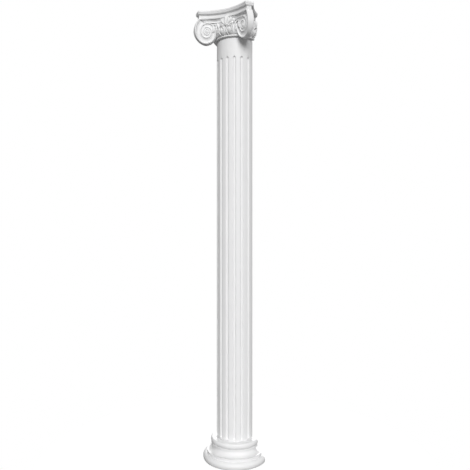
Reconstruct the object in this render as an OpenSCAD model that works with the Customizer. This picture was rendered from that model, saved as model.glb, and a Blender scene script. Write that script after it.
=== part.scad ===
// Half column: moulded base, fluted shaft and diagonal-volute capital.
// The axis is the Z axis, the flat back lies in the plane y = 0 and the
// front faces -Y. Three castings stack on each other: base, shaft, capital.

/* [Base] */
// Height of the lower torus
base_torus_h = 38; // [30:1:46]
// Radius of the base at the widest point of the lower torus
base_torus_r = 182; // [170:1:200]
// Height of the lower fillet, between torus and scotia
base_fillet_h = 15; // [10:1:20]
// Radius of the lower fillet
base_fillet_r = 160; // [152:1:166]
// Height of the hollow scotia
scotia_h = 33; // [26:1:42]
// Radius of the scotia at its foot
scotia_foot_r = 154; // [148:1:158]
// Radius of the scotia at its top
scotia_top_r = 127; // [122:1:132]
// Height of the upper fillet, over the scotia
upper_fillet_h = 10; // [7:1:13]
// Radius of the upper fillet
upper_fillet_r = 136; // [133:1:139]
// Height of the upper torus
upper_torus_h = 27; // [23:1:33]
// Radius of the upper torus at its widest point
upper_torus_r = 139; // [136:1:148]
// Height of the cincture, the ring that the shaft stands on
cincture_h = 6; // [3:1:9]
// How far the cincture stands out past the shaft
cincture_out = 5; // [3:1:9]

/* [Shaft] */
// Radius of the shaft over its fillets
shaft_r = 105; // [95:1:118]
// Length of the shaft, from the base to the capital
shaft_len = 2214; // [1400:1:2800]
// Number of spaces between flutes on the half shaft: one flute fewer is cut
flute_count = 8; // [6:1:10]
// Width of one flute where it meets the surface
flute_w = 18; // [12:1:22]
// Depth of one flute
flute_depth = 6.5; // [4:0.5:8]
// Plain length under the flutes
flute_bottom_gap = 2; // [1:1:40]
// Plain length over the flutes, the neck
flute_top_gap = 103; // [40:1:200]

/* [Capital] */
// Height of the astragal bead at the foot of the capital
astragal_h = 13; // [8:1:18]
// How far the astragal stands out past the shaft
astragal_out = 11; // [6:1:16]
// Height of the echinus, from the astragal to the abacus
echinus_h = 84; // [78:1:92]
// Radius of the echinus at its top
echinus_r = 132; // [124:1:138]
// Height of the abacus
abacus_h = 50; // [42:1:60]
// Distance from the axis to the abacus at the middle of a side
abacus_mid = 142; // [138:0.5:150]
// Distance from the axis to the abacus corner face, along the diagonal
abacus_corner = 225; // [218:1:236]
// Width of the abacus corner face at its top
corner_w = 59; // [52:1:66]
// Height of the top band of the abacus
top_band_h = 10; // [8:1:12]
// How far the ovolo under the top band is set back
ovolo_in = 5; // [4:0.5:7]
// Height of the ovolo, with its quirk
ovolo_h = 17; // [14:1:20]
// How far the plain frieze of the abacus is set back
frieze_in = 16; // [13:0.5:18]

/* [Volutes] */
// Depth of the volute eye below the top of the capital
eye_drop = 114; // [106:1:122]
// Distance from the middle plane to the volute eye
eye_x = 108; // [102:1:114]
// Radius of the spiral at the outer side
volute_outer_r = 70; // [64:1:76]
// Radius of the spiral half a turn further in
volute_inner_r = 47; // [42:1:50]
// Relief of the spiral rim over the sunk channel
rim_relief = 4; // [2:0.5:6]
// Distance from the axis to the band between two volutes, along the diagonal
volute_corner = 235; // [230:1:242]
// Diameter of the eye boss
eye_d = 15; // [10:1:20]
// How far the eye boss stands out of the volute face
eye_out = 5; // [3:1:8]
// Depth of the scrolled volute behind its face
volute_depth = 46; // [36:1:56]

/* [Carving] */
// Width of the middle egg
egg_w = 30; // [24:1:36]
// Height of the middle egg
egg_h = 41; // [34:1:46]
// How far the eggs stand out of the echinus
egg_out = 9; // [6:1:12]
// Angle between one egg and the next
egg_step = 24; // [20:1:28]
// Length of the longest lobe of a leaf, the one nearest the egg
lobe_len = 50; // [40:1:58]
// Width of a leaf lobe
lobe_w = 13; // [9:1:17]
// Number of lobes in the leaf beside each volute
lobe_count = 3; // [2:1:4]
// Width of the fleuron in the middle of a side
fleuron_w = 56; // [46:1:66]
// Height of the fleuron
fleuron_h = 68; // [58:1:76]
// Depth of the top of the fleuron below the top of the capital
fleuron_drop = 37; // [30:1:44]
// How far the fleuron stands out of the frieze
fleuron_out = 13; // [9:1:17]

/* [Hidden] */
casting_color = [0.93, 0.93, 0.93];

// Heights, from the floor up
base_fillet_z = base_torus_h;
scotia_z = base_fillet_z + base_fillet_h;
upper_fillet_z = scotia_z + scotia_h;
upper_torus_z = upper_fillet_z + upper_fillet_h;
cincture_z = upper_torus_z + upper_torus_h;
shaft_z = cincture_z + cincture_h;
capital_z = shaft_z + shaft_len;
echinus_z = capital_z + astragal_h;
abacus_z = echinus_z + echinus_h;
top_z = abacus_z + abacus_h;

// Flutes: a round groove whose arc passes the two arrises and the floor
flute_pitch = 180 / flute_count;
arris_r = sqrt(shaft_r * shaft_r - flute_w * flute_w / 4);
arris_drop = flute_depth - (shaft_r - arris_r);
flute_r = (flute_w * flute_w / 4 + arris_drop * arris_drop) / (2 * arris_drop);
flute_axis_r = shaft_r - flute_depth + flute_r;

// Abacus sides: each is an arc through two corners and the middle of the side
corner_along = (abacus_corner + corner_w / 2) / sqrt(2);
corner_across = (abacus_corner - corner_w / 2) / sqrt(2);
side_rise = corner_along - abacus_mid;
side_r = (corner_across * corner_across + side_rise * side_rise) / (2 * side_rise);
side_centre = abacus_mid + side_r;
face_r = side_r + frieze_in;

// Volutes: the face follows the frieze, and a spiral gives its outline
eye_z = top_z - eye_drop;
face_turn = asin(eye_x / face_r);
eye_y = side_centre - face_r * cos(face_turn);
spiral_step = 12;
rim_end = 720;
rim_share = 0.16;
crown_rise = 10;

// Sizes of the cutting blocks
reach = 2 * abacus_corner;
tiny = 0.01;

// Keeps the half in front of the flat back
module front_half(height) {
    intersection() {
        children();
        translate([-reach, -reach, -height])
            cube([2 * reach, reach, 3 * height]);
    }
}

// Points of a bulging half round between two heights, top first
function torus_points(r, z, h, steps = 12) =
    [for (i = [0 : steps]) let (a = 90 - 180 * i / steps)
        [r - h / 2 + h / 2 * cos(a), z + h / 2 + h / 2 * sin(a)]];

// Points of the hollow scotia, top first: a quarter round over a wider one
function scotia_points(steps = 10) =
    [for (i = [0 : steps]) let (a = 90 * i / steps)
        [scotia_foot_r - (scotia_foot_r - scotia_top_r) * cos(a),
         scotia_z + scotia_h * (1 - sin(a))]];

module base() {
    color(casting_color)
        rotate([0, 0, 180])
            rotate_extrude(angle = 180, $fn = 120)
                polygon(concat(
                    [[0, shaft_z], [shaft_r + cincture_out, shaft_z],
                     [shaft_r + cincture_out, cincture_z]],
                    torus_points(upper_torus_r, upper_torus_z, upper_torus_h),
                    [[upper_fillet_r, upper_torus_z], [upper_fillet_r, upper_fillet_z]],
                    scotia_points(),
                    [[base_fillet_r, scotia_z], [base_fillet_r, base_fillet_z]],
                    torus_points(base_torus_r, 0, base_torus_h),
                    [[0, 0]]));
}

module flute() {
    low = flute_bottom_gap + flute_w / 2;
    high = shaft_len - flute_top_gap - flute_w / 2;
    translate([flute_axis_r, 0, low]) {
        cylinder(r = flute_r, h = high - low, $fn = 48);
        sphere(r = flute_r, $fn = 48);
        translate([0, 0, high - low])
            sphere(r = flute_r, $fn = 48);
    }
}

module shaft() {
    color(casting_color)
        translate([0, 0, shaft_z])
            difference() {
                front_half(shaft_len)
                    cylinder(r = shaft_r, h = shaft_len, $fn = 180);
                for (i = [1 : flute_count - 1])
                    rotate([0, 0, -180 + i * flute_pitch])
                        flute();
            }
}

// Round core of the capital: astragal bead, then the echinus up to the abacus
module capital_core() {
    steps = 10;
    rotate([0, 0, 180])
        rotate_extrude(angle = 180, $fn = 120)
            polygon(concat(
                [[0, abacus_z + tiny], [echinus_r, abacus_z + tiny]],
                [for (i = [0 : steps]) let (a = 90 * i / steps)
                    [shaft_r + (echinus_r - shaft_r) * cos(a),
                     echinus_z + egg_h * (1 - sin(a))]],
                torus_points(shaft_r + astragal_out, capital_z, astragal_h, 8),
                [[0, capital_z]]));
}

// What is cut from one side of the abacus: its moulded profile swept on the
// arc of the side. The arc's centre is outside, so the profile is turned out.
module side_cutter() {
    steps = 6;
    band_z = top_z - top_band_h;
    frieze_z = band_z - ovolo_h;
    quirk_h = ovolo_h / 4;
    rotate_extrude($fn = 240)
        polygon(concat(
            [[side_r / 2, top_z + 1], [side_r, top_z + 1], [side_r, band_z],
             [side_r + ovolo_in + 3, band_z],
             [side_r + ovolo_in + 3, band_z - quirk_h],
             [side_r + ovolo_in, band_z - quirk_h]],
            [for (i = [0 : steps]) let (a = 90 * i / steps)
                [side_r + frieze_in - (frieze_in - ovolo_in) * cos(a),
                 band_z - quirk_h - (ovolo_h - quirk_h) * sin(a)]],
            [[side_r + frieze_in, frieze_z], [side_r + frieze_in, abacus_z - 1],
             [side_r / 2, abacus_z - 1]]));
}

module abacus() {
    intersection() {
        difference() {
            translate([-corner_along, -corner_along, abacus_z])
                cube([2 * corner_along, corner_along, abacus_h]);
            for (turn = [-90, 0, 90])
                rotate([0, 0, turn])
                    translate([0, -side_centre, 0])
                        side_cutter();
        }
        corner_block(abacus_corner);
    }
}

// A square block turned to the diagonals: it cuts the corner faces
module corner_block(distance) {
    rotate([0, 0, 45])
        translate([-distance, -distance, 0])
            cube([2 * distance, 2 * distance, 2 * top_z]);
}

// Radius of the volute spiral, falling by a constant ratio each turn.
// Angle 0 points to the outer side and the spiral winds down and inwards.
function spiral_r(a) = volute_outer_r * pow(volute_inner_r / volute_outer_r, a / 180);

// Outline of a volute seen on its face: the spiral from the outer side under
// to the inner side, and back over the top with a crown under the abacus
function volute_points() = concat(
    [for (a = [0 : spiral_step : 180]) spiral_r(a) * [cos(a), -sin(a)]],
    [for (a = [180 - spiral_step : -spiral_step : spiral_step])
        (volute_inner_r + (volute_outer_r - volute_inner_r) * (1 - a / 180)
            + crown_rise * sin(a)) * [cos(a), sin(a)]]);

// The raised rim: a band that follows the spiral for two turns
function rim_points() = concat(
    [for (a = [0 : spiral_step : rim_end]) spiral_r(a) * [cos(a), -sin(a)]],
    [for (a = [rim_end : -spiral_step : 0])
        spiral_r(a) * (1 - rim_share) * [cos(a), -sin(a)]]);

// Places a flat outline upright on the volute face, centred on the eye
module on_volute_face() {
    translate([eye_x, -eye_y, eye_z])
        rotate([90, 0, -face_turn])
            children();
}

// One volute face with the scroll behind it, on the right of a side
module volute_half() {
    difference() {
        union() {
            difference() {
                on_volute_face()
                    translate([0, 0, -volute_depth])
                        linear_extrude(volute_depth + frieze_in)
                            polygon(volute_points());
                side_cylinder(face_r + rim_relief);
            }
            difference() {
                on_volute_face()
                    translate([0, 0, -volute_depth / 2])
                        linear_extrude(volute_depth / 2 + frieze_in)
                            polygon(rim_points());
                side_cylinder(face_r);
            }
            on_volute_face()
                translate([0, 0, -volute_depth / 2])
                    cylinder(d = eye_d, h = volute_depth / 2 + eye_out, $fn = 32);
        }
        // Mitre on the diagonal
        rotate([0, 0, -45])
            translate([-reach, 0, 0])
                cube([2 * reach, reach, 2 * top_z]);
    }
}

// The round hollow that a side is cut to
module side_cylinder(r) {
    translate([0, -side_centre, 0])
        cylinder(r = r, h = 2 * top_z, $fn = 240);
}

// A corner: two volute faces that meet at the band on the diagonal
module corner_volute() {
    intersection() {
        union() {
            volute_half();
            rotate([0, 0, 90])
                mirror([1, 0, 0])
                    volute_half();
        }
        corner_block(volute_corner);
        translate([-reach, -reach, 0])
            cube([2 * reach, reach, abacus_z + tiny]);
    }
}

// One egg on the echinus, turned on its own axis, with its pointed end down
module egg() {
    steps = 8;
    translate([0, egg_out - echinus_r, echinus_z + egg_h / 2])
        rotate_extrude($fn = 48)
            polygon([for (i = [0 : steps]) let (a = 90 - 180 * i / steps)
                [egg_w / 2 * cos(a) * (1 + 0.15 * sin(a)), egg_h / 2 * sin(a)]]);
}

// A leaf that fans out of the volute: its lobes lean further and get shorter
// the nearer they lie to the volute
module leaf() {
    steps = 6;
    for (i = [0 : lobe_count - 1]) {
        length = lobe_len - 8 * i;
        rotate([0, 0, 15 + 5.5 * i])
            translate([0, -echinus_r + 1, echinus_z + lobe_len / 2 + 5 * i])
                rotate([0, 14 + 16 * i, 0])
                    rotate_extrude($fn = 48)
                        polygon([for (j = [0 : steps]) let (a = 90 - 180 * j / steps)
                            [lobe_w / 2 * cos(a), length / 2 * sin(a)]]);
    }
}

// A leafy boss in the middle of a side: one tall lobe between two pairs.
// It is rooted behind the frieze, whose hollow falls away on both sides.
module fleuron() {
    stem_w = fleuron_w / 3;
    root = frieze_in;
    translate([0, -abacus_mid + frieze_in + root, top_z - fleuron_drop - fleuron_h])
        rotate([90, 0, 0]) {
            for (side = [-1, 1]) {
                translate([side * fleuron_w / 4, fleuron_h * 0.34, 0])
                    cylinder(d = stem_w * 1.3, h = root + fleuron_out * 0.7, $fn = 32);
                translate([side * fleuron_w / 5, fleuron_h * 0.62, 0])
                    cylinder(d = stem_w, h = root + fleuron_out * 0.85, $fn = 32);
            }
            translate([-stem_w / 2, 0, 0])
                cube([stem_w, fleuron_h - stem_w / 2, root + fleuron_out]);
            translate([0, fleuron_h - stem_w / 2, 0])
                cylinder(d = stem_w, h = root + fleuron_out, $fn = 32);
        }
}

module capital() {
    color(casting_color)
        front_half(top_z) {
            capital_core();
            abacus();
            corner_volute();
            mirror([1, 0, 0])
                corner_volute();
            for (i = [-1 : 1])
                rotate([0, 0, i * egg_step])
                    egg();
            for (turn = [-90, 0, 90])
                rotate([0, 0, turn]) {
                    fleuron();
                    egg();
                    leaf();
                    mirror([1, 0, 0])
                        leaf();
                }
        }
}

base();
shaft();
capital();
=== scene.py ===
import math

import bmesh
import bpy
import numpy as np
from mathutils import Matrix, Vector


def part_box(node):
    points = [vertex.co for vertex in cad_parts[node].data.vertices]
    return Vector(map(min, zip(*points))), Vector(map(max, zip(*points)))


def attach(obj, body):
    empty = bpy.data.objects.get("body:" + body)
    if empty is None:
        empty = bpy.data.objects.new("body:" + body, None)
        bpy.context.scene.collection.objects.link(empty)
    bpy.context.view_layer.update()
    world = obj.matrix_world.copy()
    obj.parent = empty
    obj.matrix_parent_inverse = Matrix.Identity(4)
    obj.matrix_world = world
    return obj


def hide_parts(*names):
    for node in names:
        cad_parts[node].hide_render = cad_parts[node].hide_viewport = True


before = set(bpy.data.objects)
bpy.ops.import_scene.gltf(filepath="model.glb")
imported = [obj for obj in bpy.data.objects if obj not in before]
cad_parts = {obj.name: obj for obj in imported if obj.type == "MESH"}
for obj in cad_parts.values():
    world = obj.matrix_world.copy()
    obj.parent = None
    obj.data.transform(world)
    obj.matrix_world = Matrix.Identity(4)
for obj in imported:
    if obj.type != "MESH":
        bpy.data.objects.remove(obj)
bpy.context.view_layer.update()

mm = 0.001
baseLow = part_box("base")[0]
shaftLow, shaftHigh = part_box("shaft")
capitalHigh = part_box("capital")[1]
floorZ = baseLow.z / mm
shaftZ = shaftLow.z / mm
capitalZ = shaftHigh.z / mm
topZ = capitalHigh.z / mm


# a shell is a pair: its points in millimetres, and its faces as lists of point numbers

def gridShell(points, wrapRows=False, wrapColumns=False):
    # a grid of points (rows, columns, 3) becomes quads between neighbours
    rows, columns = points.shape[:2]
    index = np.arange(rows * columns).reshape(rows, columns)
    if wrapRows:
        index = np.vstack([index, index[:1]])
    if wrapColumns:
        index = np.hstack([index, index[:, :1]])
    quads = np.stack([index[:-1, :-1], index[1:, :-1], index[1:, 1:], index[:-1, 1:]], axis=-1)
    return points.reshape(-1, 3), quads.reshape(-1, 4).tolist()


def joinShells(shells):
    # one list of points after the other, with the face numbers moved along
    points = []
    faces = []
    start = 0
    for shellPoints, shellFaces in shells:
        points.append(shellPoints)
        faces += [[start + i for i in face] for face in shellFaces]
        start += len(shellPoints)
    return np.vstack(points), faces


def turned(shell, degrees):
    # the shell turned about the upright axis of the column
    angle = math.radians(degrees)
    spin = np.array([[math.cos(angle), math.sin(angle), 0],
                     [-math.sin(angle), math.cos(angle), 0], [0, 0, 1]])
    return shell[0] @ spin, shell[1]


def mirrored(shell):
    # left and right change places
    return shell[0] * [-1, 1, 1], [face[::-1] for face in shell[1]]


cutStart = 0.1      # the first shell of a cut piece ends this far before the flat back
cutStep = 0.02      # and each one after it this much further


def buildPiece(name, shells, material, crease=32, cutAtBack=False, weld=0.02):
    # joins the shells, welds their seams and shades them smooth. A piece cut at the flat back has
    # each shell welded and cut by itself, every cut a little further in than the one before, so
    # that no two of the cut faces lie in one plane
    groups = [[shell] for shell in shells] if cutAtBack else [shells]
    whole = bmesh.new()
    for number, group in enumerate(groups):
        points, faces = joinShells(group)
        part = bpy.data.meshes.new(name + "Part")
        part.from_pydata((points * mm).tolist(), [], faces)
        work = bmesh.new()
        work.from_mesh(part)
        bmesh.ops.remove_doubles(work, verts=work.verts, dist=weld * mm)
        if cutAtBack:
            everything = work.verts[:] + work.edges[:] + work.faces[:]
            depth = (cutStart + cutStep * number) * mm
            cut = bmesh.ops.bisect_plane(work, geom=everything, dist=1e-7, plane_co=(0, -depth, 0),
                                         plane_no=(0, 1, 0), clear_outer=True)
            rim = [e for e in cut["geom_cut"] if isinstance(e, bmesh.types.BMEdge)]
            bmesh.ops.holes_fill(work, edges=[e for e in rim if e.is_boundary], sides=0)
        bmesh.ops.dissolve_degenerate(work, edges=work.edges, dist=1e-6)
        bmesh.ops.recalc_face_normals(work, faces=work.faces)
        work.to_mesh(part)
        work.free()
        whole.from_mesh(part)
        bpy.data.meshes.remove(part)
    mesh = bpy.data.meshes.new(name)
    whole.to_mesh(mesh)
    whole.free()
    mesh.polygons.foreach_set("use_smooth", np.ones(len(mesh.polygons), dtype=bool))
    mesh.set_sharp_from_angle(angle=math.radians(crease))
    piece = bpy.data.objects.new(name, mesh)
    bpy.context.scene.collection.objects.link(piece)
    mesh.materials.append(material)
    return piece


def softenEdges(piece, width, angle=30):
    # a small round on every sharp edge, as a casting has under its paint
    bevel = piece.modifiers.new("softEdges", "BEVEL")
    bevel.width = width * mm
    bevel.segments = 2
    bevel.limit_method = "ANGLE"
    bevel.angle_limit = math.radians(angle)
    bevel.harden_normals = False


def arcPoints(centre, radii, fromDegrees, toDegrees, steps):
    # points of an elliptic arc: centre plus (radii times cosine and sine)
    angle = np.radians(np.linspace(fromDegrees, toDegrees, steps + 1))
    return [(centre[0] + radii[0] * math.cos(a), centre[1] + radii[1] * math.sin(a)) for a in angle]


finish = {
    "paint": (0.84, 0.84, 0.84),      # white primer
    "paintShade": (0.80, 0.80, 0.805),
    "roughness": 0.50,
    "grainSize": 900.0,               # fine orange peel of sprayed primer, per metre
    "grainDepth": 0.00010,
    "waveSize": 14.0,                 # slow unevenness of a moulded face, per metre
    "waveDepth": 0.0006,
}


def whiteCasting():
    # primer over moulded foam: a fine orange peel on a slow unevenness, tone drifting slightly
    material = bpy.data.materials.new("whiteCasting")
    material.use_nodes = True
    nodes = material.node_tree.nodes
    links = material.node_tree.links
    shader = nodes["Principled BSDF"]
    place = nodes.new("ShaderNodeTexCoord")
    drift = nodes.new("ShaderNodeTexNoise")
    drift.inputs["Scale"].default_value = finish["waveSize"]
    drift.inputs["Detail"].default_value = 4.0
    tone = nodes.new("ShaderNodeMix")
    tone.data_type = "RGBA"
    tone.inputs["A"].default_value = (*finish["paintShade"], 1)
    tone.inputs["B"].default_value = (*finish["paint"], 1)
    grain = nodes.new("ShaderNodeTexNoise")
    grain.inputs["Scale"].default_value = finish["grainSize"]
    grain.inputs["Detail"].default_value = 2.0
    wave = nodes.new("ShaderNodeBump")
    wave.inputs["Strength"].default_value = 0.15
    wave.inputs["Distance"].default_value = finish["waveDepth"]
    peel = nodes.new("ShaderNodeBump")
    peel.inputs["Strength"].default_value = 0.25
    peel.inputs["Distance"].default_value = finish["grainDepth"]
    sheen = nodes.new("ShaderNodeMapRange")
    sheen.inputs["To Min"].default_value = finish["roughness"] - 0.06
    sheen.inputs["To Max"].default_value = finish["roughness"] + 0.08
    links.new(place.outputs["Object"], drift.inputs["Vector"])
    links.new(place.outputs["Object"], grain.inputs["Vector"])
    links.new(drift.outputs["Fac"], tone.inputs["Factor"])
    links.new(tone.outputs["Result"], shader.inputs["Base Color"])
    links.new(drift.outputs["Fac"], sheen.inputs["Value"])
    links.new(sheen.outputs["Result"], shader.inputs["Roughness"])
    links.new(drift.outputs["Fac"], wave.inputs["Height"])
    links.new(grain.outputs["Fac"], peel.inputs["Height"])
    links.new(wave.outputs["Normal"], peel.inputs["Normal"])
    links.new(peel.outputs["Normal"], shader.inputs["Normal"])
    shader.inputs["Specular IOR Level"].default_value = 0.35
    return material


paint = whiteCasting()
print("finish ready")


baseSizes = {
    "torusHeight": 38.0,
    "torusRadius": 182.0,
    "filletRadius": 160.0,
    "filletHeight": 15.0,
    "scotiaFoot": 154.0,
    "scotiaTop": 124.0,
    "scotiaHeight": 33.0,
    "upperFilletRadius": 136.0,
    "upperFilletHeight": 10.0,
    "upperTorusHeight": 27.0,
    "upperTorusRadius": 138.0,
    "upperTorusBulge": 8.0,
    "footBulge": 9.0,
    "cinctureRadius": 108.0,
    "cinctureHeight": 1.5,
    "quirkRadius": 100.0,
    "steps": 144,
}


def halfRevolve(profile, steps):
    # a profile of (radius, height) turned half round the axis, closed by the flat back
    angle = np.radians(np.linspace(0, 180, steps + 1))[:, None]
    radius = np.array([p[0] for p in profile])[None, :]
    height = np.array([p[1] for p in profile])[None, :]
    points = np.stack([radius * np.cos(angle), -radius * np.sin(angle),
                       np.broadcast_to(height, (steps + 1, len(profile)))], axis=-1)
    shell = gridShell(points)
    count = len(profile)
    back = list(range(count)) + list(range(steps * count + count - 1, steps * count - 1, -1))
    return shell[0], shell[1] + [back]


def baseProfile(s):
    # from the floor up: torus, fillet, scotia, fillet, torus and cincture
    half = s["torusHeight"] / 2
    upper = s["upperTorusHeight"] / 2
    filletTop = s["torusHeight"] + s["filletHeight"]
    scotiaTop = filletTop + s["scotiaHeight"]
    torusLow = scotiaTop + s["upperFilletHeight"]
    torusHigh = torusLow + s["upperTorusHeight"]
    profile = [(0, floorZ)]
    full = s["footBulge"]      # the lower torus is fuller at its foot than a half round
    profile += arcPoints((s["torusRadius"] - full, half), (full, half), -90, 0, 9)
    profile += arcPoints((s["torusRadius"] - half, half), (half, half), 0, 90, 9)[1:]
    profile += [(s["filletRadius"], s["torusHeight"]), (s["filletRadius"], filletTop)]
    hollow = (s["scotiaFoot"] - s["scotiaTop"], s["scotiaHeight"])
    profile += arcPoints((s["scotiaFoot"], scotiaTop), hollow, -90, -180, 14)
    profile += [(s["upperFilletRadius"], scotiaTop), (s["upperFilletRadius"], torusLow)]
    bulge = s["upperTorusBulge"]
    profile += arcPoints((s["upperTorusRadius"] - bulge, torusLow + upper), (bulge, upper), -90, 90, 16)
    ring = torusHigh + s["cinctureHeight"]
    profile += [(s["cinctureRadius"], torusHigh), (s["cinctureRadius"], ring)]
    profile += [(s["quirkRadius"], ring), (s["quirkRadius"], shaftZ), (0, shaftZ)]
    return profile


baseCasting = buildPiece("baseCasting", [halfRevolve(baseProfile(baseSizes), baseSizes["steps"])], paint)
softenEdges(baseCasting, 0.9)
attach(baseCasting, "root")
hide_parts("base")
print("base done")


shaftSizes = {
    "radius": 105.0,
    "spaces": 8,            # spaces between flutes on the half shaft, one flute fewer
    "fluteWidth": 18.0,
    "fluteDepth": 7.8,
    "bottomGap": 3.5,
    "topGap": 103.0,
    "arris": 0.35,          # softness of the edge between flute and fillet
    "jointIn": 4.0,         # recess at the joint under the capital
    "jointHeight": 4.0,
    "footHeight": 3.0,      # and at its foot
}


def flutedShaft(s):
    # every column of points keeps its place across a flute, so the edges of the flutes and of
    # their round ends run along the grid. The groove is a circle seen from the axis:
    # r = c cos(d) - sqrt(q^2 - c^2 sin(d)^2), with q shrinking as a ball at the two ends
    radius = s["radius"]
    pitch = math.pi / s["spaces"]
    halfWidth = s["fluteWidth"] / 2
    edge = math.sqrt(radius ** 2 - halfWidth ** 2)
    drop = s["fluteDepth"] - (radius - edge)
    grooveR = (halfWidth ** 2 + drop ** 2) / (2 * drop)
    axisR = radius - s["fluteDepth"] + grooveR
    reachEnd = math.sqrt(grooveR ** 2 - (axisR - radius) ** 2)
    low = shaftZ + s["bottomGap"] + reachEnd
    high = capitalZ - s["topGap"] - reachEnd
    endRows = reachEnd * np.sin(np.radians(np.linspace(90, 0, 13)))
    foot = shaftZ + s["footHeight"]
    rows = [shaftZ, foot - 0.01, foot, foot + 0.3]
    rows += list(low - endRows) + list(np.linspace(low, high, 9)[1:-1])
    rows += list(high + endRows[::-1]) + [high + reachEnd + 0.4, capitalZ - 60, capitalZ - 12]
    joint = capitalZ - s["jointHeight"]
    rows += [joint - 0.6, joint, joint + 0.01, capitalZ]
    rows = np.array(rows)
    beyond = np.maximum(np.maximum(low - rows, rows - high), 0)
    ball = np.sqrt(np.maximum(grooveR ** 2 - np.minimum(beyond, reachEnd) ** 2, 0))
    # half angle of the groove on the surface, from the triangle axis, groove centre, edge
    cosine = (radius ** 2 + axisR ** 2 - ball ** 2) / (2 * radius * axisR)
    halfAngle = np.arccos(np.clip(cosine, -1, 1))
    halfAngle = np.maximum(halfAngle, 1e-5)
    inside = np.array([-1, -0.93, -0.82, -0.66, -0.45, -0.22, 0, 0.22, 0.45, 0.66, 0.82, 0.93, 1])
    outside = np.array([0.08, 0.2, 0.5, 0.8, 0.92])
    plain = np.zeros(len(rows))
    columns = [plain, plain + 0.25 * pitch, plain + 0.5 * pitch]
    for k in range(1, s["spaces"]):
        for t in inside:
            columns.append(k * pitch + t * halfAngle)
        if k < s["spaces"] - 1:
            for t in outside:
                columns.append(k * pitch + halfAngle + t * (pitch - 2 * halfAngle))
    columns += [plain + math.pi - 0.5 * pitch, plain + math.pi - 0.25 * pitch, plain + math.pi]
    theta = np.array(columns)
    centre = np.clip(np.round(theta / pitch), 1, s["spaces"] - 1) * pitch
    off = theta - centre
    under = ball[None, :] ** 2 - (axisR * np.sin(off)) ** 2
    groove = axisR * np.cos(off) - np.sqrt(np.maximum(under, 0))
    groove = np.where(under > 0, groove, radius + 5)
    groove = np.where((rows < low - reachEnd - 0.01) | (rows > high + reachEnd + 0.01), radius + 5, groove)
    soft = s["arris"]
    least = np.minimum(groove, radius)
    spread = np.exp(-(radius - least) / soft) + np.exp(-(groove - least) / soft)
    r = least - soft * np.log(spread) - s["jointIn"] * ((rows > joint + 0.005) | (rows < foot - 0.005))
    points = np.stack([r * np.cos(theta), -r * np.sin(theta), np.broadcast_to(rows, r.shape)], axis=-1)
    shell = gridShell(points)
    across, up = r.shape
    left = list(range(up))
    right = list(range((across - 1) * up, across * up))
    back = left + right[::-1]
    bottom = [i * up for i in range(across)]
    top = [i * up + up - 1 for i in range(across)]
    return shell[0], shell[1] + [back, bottom, top[::-1]]


shaftCasting = buildPiece("shaftCasting", [flutedShaft(shaftSizes)], paint, crease=50, weld=0.002)
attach(shaftCasting, "root")
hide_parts("shaft")
print("shaft done")


capitalSizes = {
    "abacusHeight": 40.0,
    "abacusMid": 137.0,       # axis to the abacus at the middle of a side
    "abacusCorner": 225.0,    # axis to the corner face, along the diagonal
    "cornerWidth": 49.0,
    "friezeIn": 13.0,         # the plain frieze is set back by this
    "cornerShare": 0.6,       # how much of a set-back the corner face takes
    "beadHeight": 9.0,        # astragal
    "beadRadius": 117.5,
    "neckRadius": 101.0,
    "echinusFoot": 112.0,
    "echinusTop": 130.0,
    "echinusZ": 11.5,         # capital foot to the echinus
    "echinusRise": 42.0,
    "echinusUpright": 24.0,
    "drumRadius": 121.0,
    "voluteCorner": 242.0,    # axis to the band between two volutes, along the diagonal
    "eyeAcross": 106.0,       # middle plane to the eye
    "eyeDrop": 107.0,         # top to the eye
    "steps": 128,
}
c = capitalSizes
abacusZ = topZ - c["abacusHeight"]
eyeZ = topZ - c["eyeDrop"]
cornerAlong = (c["abacusCorner"] + c["cornerWidth"] / 2) / math.sqrt(2)
cornerAcross = (c["abacusCorner"] - c["cornerWidth"] / 2) / math.sqrt(2)
rise = cornerAlong - c["abacusMid"]
sideR = (cornerAcross ** 2 + rise ** 2) / (2 * rise)
sideCentre = c["abacusMid"] + sideR
faceR = sideR + c["friezeIn"]
eyeAngle = math.asin(c["eyeAcross"] / faceR)
eyeT = eyeAngle * faceR


def onFace(t, z, height):
    # the hollow side: t runs along it from the middle, height stands out towards the viewer
    angle = t / faceR
    r = faceR - height
    return np.stack([r * np.sin(angle), -sideCentre + r * np.cos(angle), z + 0 * angle], axis=-1)


def echinusRadius(z):
    # a quarter round from the foot of the echinus to its full width, then upright
    lift = np.clip((z - capitalZ - c["echinusZ"]) / c["echinusRise"], 0, 1)
    return c["echinusFoot"] + (c["echinusTop"] - c["echinusFoot"]) * np.sqrt(1 - (1 - lift) ** 2)


def onEchinus(t, z, height):
    # the round part: t runs round it from the front, as an arc at the echinus's full width
    angle = t / c["echinusTop"]
    r = echinusRadius(z) + height
    return np.stack([r * np.sin(angle), -r * np.cos(angle), z + 0 * angle], axis=-1)


def intoCorner(points, corner=c["voluteCorner"]):
    # keeps points on the front side of the diagonal and behind the corner face
    along = (points[..., 0] - points[..., 1]) / math.sqrt(2)
    across = (points[..., 0] + points[..., 1]) / math.sqrt(2)
    along = np.minimum(along, corner)
    across = np.minimum(across, 0)
    x = (along + across) / math.sqrt(2)
    y = (across - along) / math.sqrt(2)
    return np.stack([x, y, points[..., 2]], axis=-1)


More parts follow.
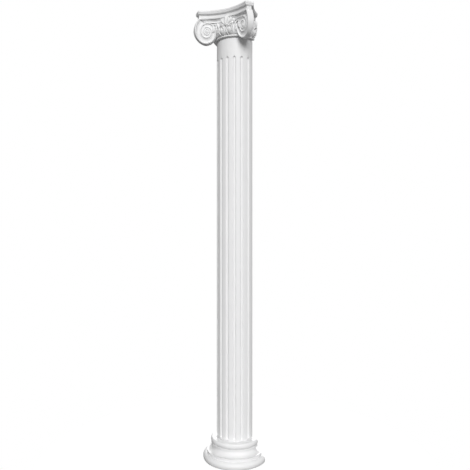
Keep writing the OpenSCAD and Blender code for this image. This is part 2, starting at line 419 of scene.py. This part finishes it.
def ridge(path, width, height, place, across=8, sink=4.0):
    # a half-round strip laid along a path (t, z) on the given surface: the cross-section is
    # height * sqrt(1 - w^2), and its sides go down into the surface by sink
    path = np.asarray(path, dtype=float)
    width = np.broadcast_to(np.asarray(width, dtype=float), len(path))
    height = np.broadcast_to(np.asarray(height, dtype=float), len(path))
    along = np.gradient(path, axis=0)
    along /= np.linalg.norm(along, axis=1)[:, None] + 1e-9
    normal = np.stack([-along[:, 1], along[:, 0]], axis=1)
    turn = np.linspace(0, math.pi, across + 1)
    w = np.cos(turn)
    lift = np.sin(turn)
    flat = path[:, None, :] + normal[:, None, :] * (w[None, :, None] * width[:, None, None] / 2)
    h = lift[None, :] * height[:, None]
    front = place(flat[..., 0], flat[..., 1], h)
    back = place(flat[..., 0], flat[..., 1], 0 * h - sink)
    loop = np.concatenate([front, back[:, ::-1]], axis=1)
    shell = gridShell(loop, wrapColumns=True)
    count = loop.shape[1]
    ends = [list(range(count)), list(range((len(path) - 1) * count, len(path) * count))[::-1]]
    return shell[0], shell[1] + ends


def abacusProfile():
    # (set-back, depth below the top): band, quirk, ovolo, small step, plain frieze
    profile = [(0.0, 0.0), (0.0, 8.5), (1.8, 9.0), (1.8, 10.2), (1.2, 10.2)]
    profile += [(1.2 + 6.8 * (1 - math.cos(a)), 10.2 + 9.3 * math.sin(a))
                for a in np.radians(np.linspace(10, 90, 8))]
    profile += [(9.5, 19.5), (9.5, 21.5), (13.0, 22.5), (13.0, c["abacusHeight"])]
    return profile


def abacusShell(steps=40):
    # the outline for one set-back: side arcs about outside centres, met by the corner faces
    def outline(setBack):
        radius = sideR + setBack
        corner = c["abacusCorner"] - setBack * c["cornerShare"]
        diagonal = sideCentre / math.sqrt(2)
        halfBand = diagonal - math.sqrt(radius ** 2 - (diagonal - corner) ** 2)
        aside = (corner - halfBand) / math.sqrt(2)
        limit = math.asin(aside / radius)
        angle = np.linspace(-limit, limit, steps + 1)
        front = np.stack([radius * np.sin(angle), -sideCentre + radius * np.cos(angle)], axis=1)
        half = np.linspace(0, limit, steps // 2 + 1)
        right = np.stack([sideCentre - radius * np.cos(half), -radius * np.sin(half)], axis=1)
        left = np.stack([-sideCentre + radius * np.cos(half), -radius * np.sin(half)], axis=1)
        return np.vstack([left, front, right[::-1]])

    profile = abacusProfile()
    rows = [np.column_stack([outline(p[0]), np.full(2 * (steps // 2 + 1) + steps + 1, topZ - p[1])])
            for p in profile]
    points = np.array(rows)
    shell = gridShell(points)
    rowCount, count = points.shape[:2]
    top = list(range(count))
    bottom = list(range((rowCount - 1) * count, rowCount * count))[::-1]
    left = [i * count for i in range(rowCount)]
    right = [i * count + count - 1 for i in range(rowCount)]
    return shell[0], shell[1] + [top, bottom, left[::-1] + right]


def coreProfile():
    # neck hollow, astragal bead, quirk, echinus and the drum up to the abacus
    low = capitalZ
    under = low + 1.5
    over = under + c["beadHeight"]
    foot = low + c["echinusZ"]
    reach = c["beadRadius"]
    profile = [(0, low), (c["neckRadius"], low), (c["neckRadius"], under), (reach - 4.5, under)]
    profile += arcPoints((reach - 2.5, under + 3.0), (2.5, 2.8), -75, 0, 4)
    profile += arcPoints((reach - 3.0, over - 3.5), (3.0, 3.5), 0, 88, 5)
    profile += [(c["echinusFoot"] - 2.5, over), (c["echinusFoot"] - 2.5, foot)]
    heights = foot + c["echinusRise"] * (1 - np.cos(np.radians(np.linspace(8, 90, 14))))
    profile += [(float(echinusRadius(z)), float(z)) for z in heights]
    top = foot + c["echinusRise"] + c["echinusUpright"]
    profile += [(c["echinusTop"] - 3, top), (c["drumRadius"], top + 5)]
    profile += [(c["drumRadius"], abacusZ), (0, abacusZ)]
    return profile


voluteSizes = {
    "outerRadius": 86.0,      # spiral at the outer side, before it is narrowed
    "turnRatio": 0.52,        # radius after one turn
    "turns": 3.1,
    "narrow": 0.775,          # share of the spiral's radius kept across
    "flatten": 0.92,          # and up and down
    "topHeight": 67.0,        # eye to the level top under the abacus
    "topOut": 45.0,           # where the outer side reaches that top
    "rimShare": 0.24,
    "rimHeight": 4.0,
    "channelDepth": 7.0,
    "faceIn": -10.0,          # the face lies behind the frieze
    "leanIn": 0.12,           # more so towards the middle of the side
    "flare": 0.0021,          # and swings out again to the corner
    "leanBack": 0.05,         # the foot of the face lies further back
    "stripDip": 10.0,
    "cone": 6.0,              # the eye stands out of the face
    "wall": -32.0,
    "leanEnd": 45.0,          # the lean stops this far from the eye, towards the middle
    "middleOut": 7.0,         # past there the face comes forward again by this
    "middleRun": 40.0,        # over this length
    "stripPast": 4.0,         # the strip runs on past the middle of the side
    "fullBand": 45.0,         # width of strip at which the relief is whole
    "eyeOut": 3.0,            # dome of the eye
    "scrollShare": 0.99,      # the scroll starts just inside the border of the face
    "scrollBack": 0.6,        # and just behind it
    "endShare": 0.9,          # its closed ends lie further in
    "endBefore": 4.0,         # and this far before the wall's depth
}
turnRows = 72                 # rows of points in one turn of the spiral


def spiralPoint(s, phi):
    # phi runs from the outer side down, in, up and out again; the radius falls by a constant
    # ratio each turn. Before the start the outline climbs to the level top: v = top sin(-phi),
    # t = outer - (outer - topOut) (v / top)^2
    radius = s["outerRadius"] * s["turnRatio"] ** (phi / 360)
    t = radius * np.cos(np.radians(phi)) * s["narrow"]
    v = -radius * np.sin(np.radians(phi)) * s["flatten"]
    outer = s["outerRadius"] * s["narrow"]
    climb = s["topHeight"] * np.sin(np.radians(np.clip(-phi, 0, 90)))
    out = outer - (outer - s["topOut"]) * (climb / s["topHeight"]) ** 2
    return np.where(phi < 0, out, t), np.where(phi < 0, climb, v)


def faceLevel(s, t, v):
    # how far the plain volute face stands before the frieze: it leans in towards the middle,
    # swings out towards the corner as t^2, and leans back at its foot
    level = s["faceIn"] + s["leanIn"] * np.maximum(t, -s["leanEnd"])
    level = level + s["flare"] * np.maximum(t, 0) ** 2
    level = level + s["leanBack"] * v
    return level + s["middleOut"] * np.clip((-t - s["leanEnd"]) / s["middleRun"], 0, 1)


def voluteFace(s):
    # one long strip: first level under the abacus, then wound in a spiral. Its two edges are the
    # spiral at phi and one turn further in; across it go a rim and a hollow channel
    steps = 18
    phi = np.arange(-90, s["turns"] * 360 + 0.1, 360 / turnRows)
    outerT, outerV = spiralPoint(s, phi)
    innerT, innerV = spiralPoint(s, phi + 360)
    far = -(eyeT + s["stripPast"])
    run = np.linspace(0, 1, steps + 1)[:-1]
    outerT = np.concatenate([far + (outerT[0] - far) * run, outerT])
    outerV = np.concatenate([np.full(steps, outerV[0]), outerV])
    innerT = np.concatenate([far + (innerT[0] - far) * run, innerT])
    innerV = np.concatenate([innerV[0] - s["stripDip"] * (1 - run) ** 2, innerV])
    rim = s["rimShare"]
    channelAt = np.array([0.04, 0.1, 0.2, 0.35, 0.5, 0.65, 0.8, 0.92, 1.0])
    w = np.concatenate([np.linspace(0, rim, 9), rim + (1 - rim) * channelAt])
    band = np.hypot(outerT - innerT, outerV - innerV)
    scale = np.clip(band / s["fullBand"], 0, 1) ** 0.7
    bead = np.where(w <= rim, np.sin(math.pi * np.clip(w / rim, 0, 1)) ** 0.7, 0)
    across = np.clip((w - rim) / (1 - rim), 0, 1)
    channel = np.where(w > rim, (1 - np.abs(2 * across ** 0.8 - 1) ** 3), 0)
    relief = scale[:, None] * (s["rimHeight"] * bead - s["channelDepth"] * channel)[None, :]
    t = outerT[:, None] * (1 - w) + innerT[:, None] * w
    v = outerV[:, None] * (1 - w) + innerV[:, None] * w
    relief = relief + faceLevel(s, t, v)
    wound = np.clip((np.arange(len(outerT)) - steps) / (turnRows / 2), 0, 1)[:, None]
    wound = wound + (1 - wound) * w[None, :]    # whole at the inner edge, where the next turn joins
    distance = np.hypot(t / s["narrow"], v)
    relief = relief + s["cone"] * wound * np.clip(1 - distance / s["outerRadius"], 0, 1) ** 2
    return t, v, relief, steps


def inDiagonal(points):
    # the mirror image in the upright plane through the corner: x and y change places and signs
    return np.stack([-points[..., 1], -points[..., 0], points[..., 2]], axis=-1)


def carvedShell(s):
    # the carved face with a wall round its border, closed behind, and a dome for the eye
    t, v, relief, start = voluteFace(s)
    rows, columns = t.shape
    points, faces = gridShell(intoCorner(onFace(eyeT + t, eyeZ + v, relief)))
    # the border of the carved face: along the top, once round, and back under the strip
    border = [(i, 0) for i in range(0, start + turnRows + 1)]
    border += [(i, columns - 1) for i in range(start - 1, -1, -1)]
    border += [(0, j) for j in range(columns - 2, 0, -1)]
    pick = tuple(np.array(border).T)
    behind = intoCorner(onFace(eyeT + t[pick], eyeZ + v[pick], np.full(len(border), s["wall"])))
    offset = len(points)
    count = len(border)
    flat = (pick[0] * columns + pick[1]).tolist()
    walls = [[flat[k], offset + k, offset + (k + 1) % count, flat[(k + 1) % count]] for k in range(count)]
    cap = [offset + k for k in range(count)][::-1]
    # the dome: the last turn's inner edge shrinks by the cosine as its height nears the peak
    ring = [(i, columns - 1) for i in range(rows - turnRows, rows)]
    pick = tuple(np.array(ring).T)
    ringT, ringV, ringH = t[pick], v[pick], relief[pick]
    previous = (pick[0] * columns + pick[1]).tolist()
    domePoints = []
    domeFaces = []
    peak = float(ringH.mean()) + s["eyeOut"]
    for level in range(1, 5):
        shrink = math.cos(level / 5 * math.pi / 2)
        height = ringH * shrink + peak * (1 - shrink)
        domePoints.append(onFace(eyeT + ringT * shrink, eyeZ + ringV * shrink, height))
        current = [offset + count + (level - 1) * turnRows + k for k in range(turnRows)]
        for k in range(turnRows):
            after = (k + 1) % turnRows
            domeFaces.append([previous[k], previous[after], current[after], current[k]])
        previous = current
    domeFaces.append(previous)
    # the small step where the strip ends, between its last row and the ring of the eye
    lastRow = [(rows - 1) * columns + j for j in range(columns)]
    domeFaces.append(lastRow + [(rows - turnRows) * columns + columns - 1])
    return np.vstack([points, behind] + domePoints), faces + walls + [cap] + domeFaces


def scrollShell(s):
    # the scroll: straight lines from the border of the front face to its mirror image in the
    # diagonal, turned in behind both faces and closed there
    around = np.arange(-90, 271, 360 / turnRows)
    edgeT, edgeV = spiralPoint(s, around)
    share = s["scrollShare"]
    level = faceLevel(s, edgeT, edgeV) - s["scrollBack"]
    edge = intoCorner(onFace(eyeT + edgeT * share, eyeZ + edgeV * share, level))
    share = s["endShare"]
    level = np.full(len(around), s["wall"] + s["endBefore"])
    inner = intoCorner(onFace(eyeT + edgeT * share, eyeZ + edgeV * share, level))
    u = np.linspace(0, 1, 15)[None, :, None]
    sheet = edge[:, None, :] * (1 - u) + inDiagonal(edge)[:, None, :] * u
    sheet = np.concatenate([inner[:, None, :], sheet, inDiagonal(inner)[:, None, :]], axis=1)
    points, faces = gridShell(sheet, wrapRows=True)
    stations = sheet.shape[1]
    endA = [i * stations for i in range(len(sheet))]
    endB = [i * stations + stations - 1 for i in range(len(sheet))]
    return points, faces + [endA, endB[::-1]]


def sideFace(shell):
    # the face on the right side is the front one seen in the diagonal mirror
    return inDiagonal(shell[0]), [face[::-1] for face in shell[1]]


carved = carvedShell(voluteSizes)
volutes = [carved, sideFace(carved), scrollShell(voluteSizes)]
volutes += [mirrored(shell) for shell in volutes]
print("volutes shaped")


carvingSizes = {
    "eggWidth": 21.0,
    "eggHeight": 39.0,
    "eggOut": 11.0,
    "eggAt": 23.4,            # middle of the side to an egg, round the echinus
    "shellHalf": 17.0,        # egg to the ridge round it
    "shellWidth": 6.0,
    "shellOut": 9.0,
    "shellMid": 21.0,         # echinus foot to the middle of the ridge
    "shellRise": 26.0,
    "lobeWidth": 9.5,
    "leafGround": 13.0,       # the leaves' ground lies this far behind the frieze
    "leafSink": 26.0,
    "fleuronAside": 6.0,      # the boss sits a little to the right of the middle
    "fleuronDrop": 37.0,
    "fleuronHeight": 56.0,
    "fleuronOut": 13.0,
    "fleuronLift": 3.0,
    "fleuronSink": 22.0,
}
eggZ = capitalZ + c["echinusZ"]


def eggShell(t0):
    # a half egg: width and relief follow an ellipse, fuller above than below
    s = carvingSizes
    rows = np.radians(np.linspace(0, 180, 21))[:, None]
    columns = np.radians(np.linspace(0, 360, 33)[:-1])[None, :]
    z = eggZ + s["eggHeight"] / 2 * (1 + np.cos(rows))
    full = np.sin(rows) * (1 + 0.14 * np.cos(rows))
    t = t0 + s["eggWidth"] / 2 * full * np.cos(columns)
    h = s["eggOut"] * full * np.sin(columns) - 1.0
    return gridShell(onEchinus(t, z + 0 * t, h), wrapColumns=True)


def eggRidge(t0):
    # the raised shell round an egg: up one side, over the top and down the other
    s = carvingSizes
    a = np.radians(np.linspace(-58, 238, 49))
    path = np.column_stack([t0 + s["shellHalf"] * np.cos(a) * (1 - 0.12 * np.clip(-np.sin(a), 0, 1)),
                            eggZ + s["shellMid"] + s["shellRise"] * np.sin(a)])
    return ridge(path, s["shellWidth"], s["shellOut"], onEchinus, sink=6.0)


def leafLobe(start, bend, length, width, height, place, sink, steps=16):
    # a lobe on a curved path: it leaves start in direction bend[0] and turns evenly to bend[1]
    # (degrees, 0 to the right, 90 up); its width swells to two thirds and closes round
    p = np.linspace(0, 1, steps + 1)
    heading = np.radians(bend[0] + (bend[1] - bend[0]) * p)
    step = length / steps
    t = start[0] + np.concatenate([[0], np.cumsum(np.cos(heading[:-1]) * step)])
    z = start[1] + np.concatenate([[0], np.cumsum(np.sin(heading[:-1]) * step)])
    tip = np.clip(p - 0.6, 0, 1) / 0.4
    swell = np.clip(0.35 + 0.9 * p, 0, 1) * np.sqrt(np.clip(1 - tip ** 2, 0.0004, 1))
    lift = height * (0.45 + 0.55 * np.sin(math.pi * p ** 0.8))
    return ridge(np.column_stack([t, z]), width * swell, lift, place, across=10, sink=sink)


def onFaceOrEchinus(t, z, height):
    # leaves lie on whichever stands further out: the echinus, or the volute face beside it
    angle = t / c["echinusTop"]
    groundR = faceR + carvingSizes["leafGround"]
    under = np.maximum(groundR ** 2 - (sideCentre * np.sin(angle)) ** 2, 0)
    faceReach = sideCentre * np.cos(angle) - np.sqrt(under)
    r = np.maximum(echinusRadius(z), faceReach) + height
    return np.stack([r * np.sin(angle), -r * np.cos(angle), z + 0 * angle], axis=-1)


def palmette(side):
    # lobes that hang from under the canal between the volute and the egg, longest at the egg,
    # with a short one that curls back over the rim of the volute
    s = carvingSizes
    lobes = []
    for i in range(3):
        start = (side * (57 + 9.0 * i), eggZ + 73 - 3.0 * i)
        bend = (-90 - side * (40 - 8 * i), -90 + side * (8 + 14 * i))
        shape = (68 - 10.5 * i, s["lobeWidth"], 10.5)
        lobes.append(leafLobe(start, bend, *shape, onFaceOrEchinus, s["leafSink"]))
    start = (side * 80, eggZ + 70)
    bend = (90 + side * 110, 90 + side * 125)
    lobes.append(leafLobe(start, bend, 34, 11, 9.0, onFaceOrEchinus, s["leafSink"]))
    return lobes


def fleuronShells():
    # a leafy boss: a broad tall lobe between three pairs that lean away, and a bud that hangs
    s = carvingSizes
    foot = topZ - s["fleuronDrop"] - s["fleuronHeight"]
    out = s["fleuronOut"]
    tall = s["fleuronHeight"]
    sink = s["fleuronSink"]

    def place(t, z, height):
        return onFace(t + s["fleuronAside"], z, height + s["fleuronLift"])

    # start aside and up, first and last lean from upright, share of height, width, share of relief
    pairs = [(4, 8, 62, 8, 0.84, 13, 0.8), (5, 6, 95, 40, 0.62, 12, 0.8), (4, 10, 112, 150, 0.44, 12, 0.9)]
    lobes = []
    for side in (-1, 1):
        for aside, up, first, last, share, width, relief in pairs:
            start = (side * aside, foot + up)
            bend = (90 - side * first, 90 - side * last)
            lobes.append(leafLobe(start, bend, tall * share, width, out * relief, place, sink))
    lobes.append(leafLobe((0, foot + 4), (90, 90), tall - 3, 22, out * 1.3, place, sink))
    lobes.append(leafLobe((0, foot + 26), (-90, -90), 28, 13, out * 1.5, place, sink))
    return lobes


def sideCarving():
    # the carving of one side, before it is turned into place
    s = carvingSizes
    shells = []
    for side in (-1, 1):
        shells += [eggShell(side * s["eggAt"]), eggRidge(side * s["eggAt"])]
        shells += palmette(side)
    return shells + fleuronShells()


frontCarving = sideCarving()
allCarving = frontCarving + [turned(shell, 90) for shell in frontCarving]
allCarving += [turned(shell, -90) for shell in frontCarving]
print("carving shaped")

blockShells = [abacusShell(), halfRevolve(coreProfile(), c["steps"])]
capitalBlock = buildPiece("capitalBlock", blockShells, paint, crease=28)
softenEdges(capitalBlock, 0.8)
capitalVolutes = buildPiece("capitalVolutes", volutes, paint, crease=40, weld=0.01, cutAtBack=True)
capitalCarving = buildPiece("capitalCarving", allCarving, paint, crease=45, cutAtBack=True)
for piece in (capitalBlock, capitalVolutes, capitalCarving):
    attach(piece, "root")
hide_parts("capital")
print("capital done")


stageSizes = {
    "azimuth": 25.4,          # degrees from the front, towards +X
    "distance": 2.922,
    "height": 1.259,
    "aside": 0.045,           # degrees that the view is turned past the axis
    "viewShare": 0.91315329,  # frame width over focal length
    "keyAzimuth": 30.0,
    "keyElevation": 24.0,
    "keyStrength": 2.4,
    "keyAngle": 34.0,
    "backStrength": 1.4,      # a weaker light on the flat back, opposite the view
    "backElevation": 20.0,
    "backAngle": 10.0,
    "skyHigh": 0.46,          # even light from above the horizon
    "skyLow": 0.17,           # and from below it
    "skyFrom": -0.05,         # heights of the view direction between which it fades
    "skyTo": 0.25,
    "floorRadius": 1.1,
    "floorTone": 0.22,
    "floorGlow": 0.85,
    "underGlow": 0.25,        # more on its underside
}


def addFloor(s):
    # a pale round floor that shows as white as the backdrop, with the soft shadow of the base
    turn = np.radians(np.arange(0, 360, 5))
    radius = s["floorRadius"]
    points = np.column_stack([radius * np.cos(turn), radius * np.sin(turn), 0 * turn])
    mesh = bpy.data.meshes.new("floor")
    mesh.from_pydata(points.tolist(), [], [list(range(len(turn)))])
    material = bpy.data.materials.new("paleFloor")
    material.use_nodes = True
    nodes = material.node_tree.nodes
    shader = nodes["Principled BSDF"]
    shader.inputs["Base Color"].default_value = (s["floorTone"], s["floorTone"], s["floorTone"], 1)
    shader.inputs["Roughness"].default_value = 0.9
    shader.inputs["Specular IOR Level"].default_value = 0.0
    shader.inputs["Emission Color"].default_value = (1, 1, 1, 1)
    side = nodes.new("ShaderNodeNewGeometry")
    glow = nodes.new("ShaderNodeMath")     # its underside shows plain white
    glow.operation = "MULTIPLY_ADD"
    glow.inputs[1].default_value = s["underGlow"]
    glow.inputs[2].default_value = s["floorGlow"]
    seen = nodes.new("ShaderNodeMath")     # the eye sees it whiter than it lights the column
    seen.operation = "MULTIPLY"
    path = nodes.new("ShaderNodeLightPath")
    material.node_tree.links.new(side.outputs["Backfacing"], glow.inputs[0])
    material.node_tree.links.new(path.outputs["Is Camera Ray"], seen.inputs[0])
    material.node_tree.links.new(glow.outputs["Value"], seen.inputs[1])
    material.node_tree.links.new(seen.outputs["Value"], shader.inputs["Emission Strength"])
    mesh.materials.append(material)
    floor = bpy.data.objects.new("floor", mesh)
    floor.location.z = floorZ * mm - 0.0005
    bpy.context.scene.collection.objects.link(floor)


def addSun(name, azimuth, elevation, strength, angle):
    # the sun shines from the given azimuth, counted from the front towards +X
    light = bpy.data.lights.new(name, "SUN")
    light.energy = strength
    light.angle = math.radians(angle)
    lamp = bpy.data.objects.new(name, light)
    lamp.rotation_euler = (math.radians(90 - elevation), 0, math.radians(azimuth))
    bpy.context.scene.collection.objects.link(lamp)


def addWorld(s):
    # a white backdrop for the eye; for the object a soft sky that fades below the horizon
    world = bpy.data.worlds.new("studio")
    world.use_nodes = True
    nodes = world.node_tree.nodes
    links = world.node_tree.links
    soft = nodes["Background"]
    soft.inputs["Color"].default_value = (1, 1, 1, 1)
    place = nodes.new("ShaderNodeTexCoord")
    split = nodes.new("ShaderNodeSeparateXYZ")
    fade = nodes.new("ShaderNodeMapRange")
    fade.inputs["From Min"].default_value = s["skyFrom"]
    fade.inputs["From Max"].default_value = s["skyTo"]
    fade.inputs["To Min"].default_value = s["skyLow"]
    fade.inputs["To Max"].default_value = s["skyHigh"]
    links.new(place.outputs["Generated"], split.inputs["Vector"])
    links.new(split.outputs["Z"], fade.inputs["Value"])
    links.new(fade.outputs["Result"], soft.inputs["Strength"])
    seen = nodes.new("ShaderNodeBackground")
    seen.inputs["Color"].default_value = (1, 1, 1, 1)
    seen.inputs["Strength"].default_value = 1.0
    path = nodes.new("ShaderNodeLightPath")
    mix = nodes.new("ShaderNodeMixShader")
    links.new(path.outputs["Is Camera Ray"], mix.inputs["Fac"])
    links.new(soft.outputs["Background"], mix.inputs[1])
    links.new(seen.outputs["Background"], mix.inputs[2])
    links.new(mix.outputs["Shader"], nodes["World Output"].inputs["Surface"])
    bpy.context.scene.world = world


def addCamera(s):
    # level, aimed at the axis of the column
    azimuth = math.radians(s["azimuth"])
    data = bpy.data.cameras.new("camera")
    data.sensor_width = 36.0
    data.lens = data.sensor_width / s["viewShare"]
    camera = bpy.data.objects.new("camera", data)
    camera.location = (s["distance"] * math.sin(azimuth), -s["distance"] * math.cos(azimuth), s["height"])
    camera.rotation_euler = (math.radians(90), 0, azimuth + math.radians(s["aside"]))
    bpy.context.scene.collection.objects.link(camera)
    bpy.context.scene.camera = camera


addFloor(stageSizes)
addWorld(stageSizes)
addSun("key", stageSizes["keyAzimuth"], stageSizes["keyElevation"],
       stageSizes["keyStrength"], stageSizes["keyAngle"])
addSun("back", stageSizes["azimuth"] + 180, stageSizes["backElevation"],
       stageSizes["backStrength"], stageSizes["backAngle"])
addCamera(stageSizes)
bpy.context.scene.view_settings.view_transform = "Standard"
print("stage done")
